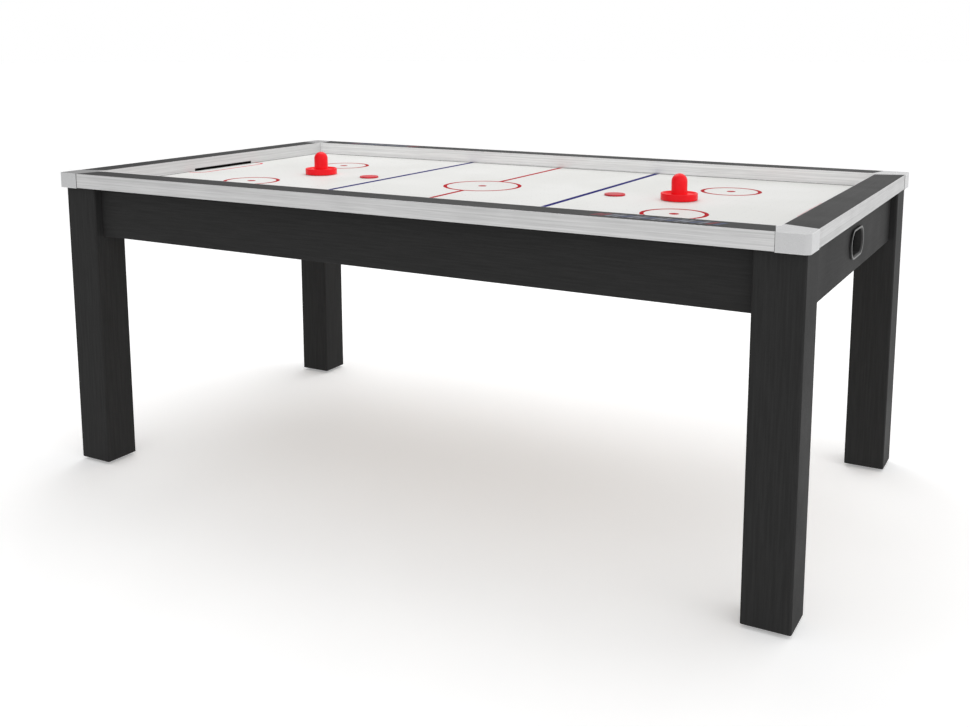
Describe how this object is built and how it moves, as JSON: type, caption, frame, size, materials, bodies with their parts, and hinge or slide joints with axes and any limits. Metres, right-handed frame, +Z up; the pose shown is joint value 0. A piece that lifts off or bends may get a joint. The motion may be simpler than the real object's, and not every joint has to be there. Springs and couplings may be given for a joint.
{
  "type": "air hockey table",
  "caption": "Full-size air hockey table on four box legs, with brushed metal rails, goal slots, an air blower, levelling feet, sliding mallets and pucks.",
  "frame": {"origin": "on the floor under the middle of the table, with the levelers screwed fully in", "axes": "+X from the left goal to the right goal, -Y out of the front long side, +Y out of the back long side that carries the switch and inlet, +Z up"},
  "size_m": [2.007, 1.115, 0.8419],
  "materials": {
    "black_laminate": "satin charcoal-black laminate with a faint fine grain",
    "rail_top_laminate": "satin dark grey laminate",
    "brushed_aluminium": "brushed along its length",
    "cast_aluminium": "smooth satin casting",
    "playfield_laminate": "glossy white laminate over board, with a grid of small air holes and printed rink lines",
    "raw_board": "bare fibreboard",
    "black_plastic": "matt moulded",
    "grey_plastic": "satin moulded",
    "fan_plastic": "satin moulded",
    "mallet_plastic": "bright red, satin gloss",
    "puck_plastic": "red, satin gloss",
    "switch_plastic": "dark red",
    "mallet_felt": "pressed felt",
    "zinc_steel": "zinc plated",
    "leveler_rubber": "moulded",
    "lead_jacket": "smooth cable jacket"
  },
  "bodies": {
    "table": {"blower_grille": "black_plastic", "blower_housing": "black_plastic", "blower_lead": "lead_jacket", "blower_motor": "zinc_steel", "corner_cap_back_left": "cast_aluminium", "corner_cap_back_right": "cast_aluminium", "corner_cap_front_left": "cast_aluminium", "corner_cap_front_right": "cast_aluminium", "end_apron_left": "black_laminate", "end_apron_right": "black_laminate", "end_fascia_left": "brushed_aluminium", "end_fascia_right": "brushed_aluminium", "end_rail_left": "rail_top_laminate", "end_rail_right": "rail_top_laminate", "end_wall_left": "brushed_aluminium", "end_wall_right": "brushed_aluminium", "goal_box_left": "black_plastic", "goal_box_right": "black_plastic", "leg_back_left": "black_laminate", "leg_back_right": "black_laminate", "leg_bolt_end_back_left": "zinc_steel", "leg_bolt_end_back_right": "zinc_steel", "leg_bolt_end_front_left": "zinc_steel", "leg_bolt_end_front_right": "zinc_steel", "leg_bolt_side_back_left": "zinc_steel", "leg_bolt_side_back_right": "zinc_steel", "leg_bolt_side_front_left": "zinc_steel", "leg_bolt_side_front_right": "zinc_steel", "leg_front_left": "black_laminate", "leg_front_right": "black_laminate", "playfield_panel": "playfield_laminate", "plenum_batten_back": "raw_board", "plenum_batten_front": "raw_board", "plenum_batten_left": "raw_board", "plenum_batten_right": "raw_board", "plenum_panel": "raw_board", "power_inlet": "black_plastic", "power_plate": "black_plastic", "return_bezel_left": "grey_plastic", "return_bezel_right": "grey_plastic", "side_apron_back": "black_laminate", "side_apron_front": "black_laminate", "side_fascia_back": "brushed_aluminium", "side_fascia_front": "brushed_aluminium", "side_rail_back": "rail_top_laminate", "side_rail_front": "rail_top_laminate", "side_wall_back": "brushed_aluminium", "side_wall_front": "brushed_aluminium"},
    "leveler_front_left": {"leg_leveler_front_left": "leveler_rubber"},
    "leveler_front_right": {"leg_leveler_front_right": "leveler_rubber"},
    "leveler_back_left": {"leg_leveler_back_left": "leveler_rubber"},
    "leveler_back_right": {"leg_leveler_back_right": "leveler_rubber"},
    "impeller": {"blower_impeller": "fan_plastic"},
    "rocker": {"power_switch": "switch_plastic"},
    "mallet_left": {"mallet_left": "mallet_plastic", "mallet_felt_left": "mallet_felt"},
    "puck_left": {"puck_left": "puck_plastic"},
    "mallet_right": {"mallet_right": "mallet_plastic", "mallet_felt_right": "mallet_felt"},
    "puck_right": {"puck_right": "puck_plastic"}
  },
  "joints": [
    {"name": "leveler_front_left_screw", "type": "slide", "parent": "table", "child": "leveler_front_left", "axis": [0, 0, -1], "range_m": [0, 0.012]},
    {"name": "leveler_front_right_screw", "type": "slide", "parent": "table", "child": "leveler_front_right", "axis": [0, 0, -1], "range_m": [0, 0.012]},
    {"name": "leveler_back_left_screw", "type": "slide", "parent": "table", "child": "leveler_back_left", "axis": [0, 0, -1], "range_m": [0, 0.012]},
    {"name": "leveler_back_right_screw", "type": "slide", "parent": "table", "child": "leveler_back_right", "axis": [0, 0, -1], "range_m": [0, 0.012]},
    {"name": "impeller_spin", "type": "hinge", "parent": "table", "child": "impeller", "pos_m": [0, 0, 0.711], "axis": [0, 0, 1], "continuous": true},
    {"name": "switch_rock", "type": "hinge", "parent": "table", "child": "rocker", "pos_m": [0.15, 0.5115, 0.709], "axis": [1, 0, 0], "range_deg": [0, 14]},
    {"name": "mallet_left_stroke", "type": "slide", "parent": "table", "child": "mallet_left", "axis": [1, 0, 0], "range_m": [-0.327, 0.095]},
    {"name": "mallet_right_stroke", "type": "slide", "parent": "table", "child": "mallet_right", "axis": [-1, 0, 0], "range_m": [-0.327, 0.095]},
    {"name": "puck_left_glide", "type": "slide", "parent": "table", "child": "puck_left", "axis": [0, 1, 0], "range_m": [-0.457, 0.457]},
    {"name": "puck_right_glide", "type": "slide", "parent": "table", "child": "puck_right", "axis": [0, 1, 0], "range_m": [-0.457, 0.457]}
  ]
}
